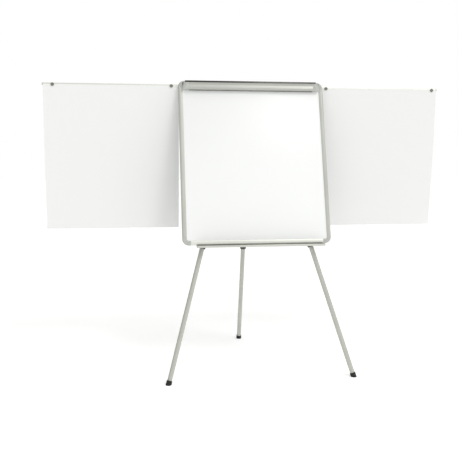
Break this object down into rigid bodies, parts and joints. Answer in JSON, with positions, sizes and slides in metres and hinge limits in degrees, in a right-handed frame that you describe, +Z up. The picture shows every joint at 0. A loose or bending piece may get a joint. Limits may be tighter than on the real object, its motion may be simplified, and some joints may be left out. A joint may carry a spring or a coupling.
{
  "type": "flipchart easel",
  "caption": "Tripod flipchart easel with a framed white board, sprung pad clamp, pen tray, telescopic legs and pull-out side arms holding paper sheets.",
  "frame": {"origin": "on the floor, under the centre of the whole easel's box", "axes": "+Z up, the board faces -Y and leans back towards +Y, +X to the right of a person facing the board"},
  "size_m": [2.454, 0.8914, 1.7223],
  "materials": {
    "enamel_white": "glossy white enamelled steel",
    "core_board": "honeycomb board",
    "zinc_sheet": "satin metal sheet",
    "hub_steel": "zinc-plated steel",
    "frame_grey": "satin grey anodised",
    "leg_grey": "semi-gloss grey powder coat",
    "grey_plastic": "satin moulded",
    "dark_plastic": "satin moulded",
    "black_steel": "black lacquer",
    "bright_steel": "bright zinc",
    "black_rubber": "matt",
    "magnet_grey": "satin",
    "paper_white": "uncoated"
  },
  "bodies": {
    "board": {"writing_surface": "enamel_white", "board_core": "core_board", "back_sheet": "zinc_sheet", "frame_left": "frame_grey", "frame_right": "frame_grey", "frame_bottom": "frame_grey", "frame_top": "frame_grey", "corner_bottom_left": "grey_plastic", "corner_bottom_right": "grey_plastic", "corner_top_right": "grey_plastic", "corner_top_left": "grey_plastic", "pen_tray": "frame_grey", "tray_end_left": "grey_plastic", "tray_end_right": "grey_plastic", "clamp_base": "black_steel", "clamp_pin_left": "bright_steel", "clamp_pin_right": "bright_steel", "clamp_spring_left": "bright_steel", "clamp_spring_right": "bright_steel", "arm_guide_left": "zinc_sheet", "arm_guide_right": "zinc_sheet", "hub_plate": "hub_steel", "leg_bolt_left": "bright_steel", "leg_bolt_right": "bright_steel", "leg_bolt_rear": "bright_steel"},
    "pad_clamp": {"clamp_bar": "frame_grey", "clamp_grip": "black_rubber", "clamp_cap_left": "grey_plastic", "clamp_cap_right": "grey_plastic"},
    "peg_left": {"pad_peg_left": "dark_plastic"},
    "peg_right": {"pad_peg_right": "dark_plastic"},
    "side_arm_left": {"arm_left": "frame_grey", "arm_cap_left": "grey_plastic", "paper_sheet_left": "paper_white"},
    "magnet_left_inner": {"magnet_left_inner": "magnet_grey"},
    "magnet_left_outer": {"magnet_left_outer": "magnet_grey"},
    "side_arm_right": {"arm_right": "frame_grey", "arm_cap_right": "grey_plastic", "paper_sheet_right": "paper_white"},
    "magnet_right_inner": {"magnet_right_inner": "magnet_grey"},
    "magnet_right_outer": {"magnet_right_outer": "magnet_grey"},
    "leg_left": {"leg_head_left": "dark_plastic", "upper_tube_left": "leg_grey", "guide_bush_left": "dark_plastic"},
    "collar_left": {"twist_collar_left": "dark_plastic"},
    "lower_leg_left": {"lower_tube_left": "leg_grey", "rubber_foot_left": "black_rubber"},
    "leg_right": {"leg_head_right": "dark_plastic", "upper_tube_right": "leg_grey", "guide_bush_right": "dark_plastic"},
    "collar_right": {"twist_collar_right": "dark_plastic"},
    "lower_leg_right": {"lower_tube_right": "leg_grey", "rubber_foot_right": "black_rubber"},
    "leg_rear": {"leg_head_rear": "dark_plastic", "upper_tube_rear": "leg_grey", "guide_bush_rear": "dark_plastic"},
    "collar_rear": {"twist_collar_rear": "dark_plastic"},
    "lower_leg_rear": {"lower_tube_rear": "leg_grey", "rubber_foot_rear": "black_rubber"}
  },
  "joints": [
    {"name": "pad_clamp_open", "type": "hinge", "parent": "board", "child": "pad_clamp", "pos_m": [0.018, 0.04898, 1.70674], "axis": [-1, 0, 0], "range_deg": [0, 65], "stiffness_Nm_per_rad": 0.6, "springref_deg": -68.75},
    {"name": "peg_left_slide", "type": "slide", "parent": "board", "child": "peg_left", "axis": [1, 0, 0], "range_m": [-0.06, 0.06]},
    {"name": "peg_right_slide", "type": "slide", "parent": "board", "child": "peg_right", "axis": [1, 0, 0], "range_m": [-0.06, 0.06]},
    {"name": "side_arm_left_slide", "type": "slide", "parent": "board", "child": "side_arm_left", "axis": [1, 0, 0], "range_m": [0, 0.32]},
    {"name": "magnet_left_inner_slide", "type": "slide", "parent": "side_arm_left", "child": "magnet_left_inner", "axis": [-1, 0, 0], "range_m": [0, 0.3]},
    {"name": "magnet_left_outer_slide", "type": "slide", "parent": "side_arm_left", "child": "magnet_left_outer", "axis": [1, 0, 0], "range_m": [0, 0.3]},
    {"name": "side_arm_right_slide", "type": "slide", "parent": "board", "child": "side_arm_right", "axis": [-1, 0, 0], "range_m": [0, 0.28]},
    {"name": "magnet_right_inner_slide", "type": "slide", "parent": "side_arm_right", "child": "magnet_right_inner", "axis": [1, 0, 0], "range_m": [0, 0.3]},
    {"name": "magnet_right_outer_slide", "type": "slide", "parent": "side_arm_right", "child": "magnet_right_outer", "axis": [-1, 0, 0], "range_m": [0, 0.3]},
    {"name": "leg_left_fold", "type": "hinge", "parent": "board", "child": "leg_left", "pos_m": [-0.05, 0.07884, 1.63783], "axis": [0, -0.9553, 0.2957], "range_deg": [0, 15.5]},
    {"name": "leg_right_fold", "type": "hinge", "parent": "board", "child": "leg_right", "pos_m": [0.086, 0.07884, 1.63783], "axis": [0, 0.9553, -0.2957], "range_deg": [0, 15.5]},
    {"name": "leg_rear_fold", "type": "hinge", "parent": "board", "child": "leg_rear", "pos_m": [0.018, 0.09122, 1.60783], "axis": [-1, 0, 0], "range_deg": [0, 29]},
    {"name": "leg_left_twist_lock", "type": "hinge", "parent": "leg_left", "child": "collar_left", "pos_m": [-0.05, 0.07884, 1.63783], "axis": [0.2672, 0.285, 0.9205], "range_deg": [0, 90]},
    {"name": "leg_left_extend", "type": "slide", "parent": "leg_left", "child": "lower_leg_left", "axis": [0.2672, 0.285, 0.9205], "range_m": [0, 0.72]},
    {"name": "leg_right_twist_lock", "type": "hinge", "parent": "leg_right", "child": "collar_right", "pos_m": [0.086, 0.07884, 1.63783], "axis": [-0.2672, 0.285, 0.9205], "range_deg": [0, 90]},
    {"name": "leg_right_extend", "type": "slide", "parent": "leg_right", "child": "lower_leg_right", "axis": [-0.2672, 0.285, 0.9205], "range_m": [0, 0.72]},
    {"name": "leg_rear_twist_lock", "type": "hinge", "parent": "leg_rear", "child": "collar_rear", "pos_m": [0.018, 0.09122, 1.60783], "axis": [0, -0.2053, 0.9787], "range_deg": [0, 90]},
    {"name": "leg_rear_extend", "type": "slide", "parent": "leg_rear", "child": "lower_leg_rear", "axis": [0, -0.2053, 0.9787], "range_m": [-0.12, 0.58]}
  ]
}
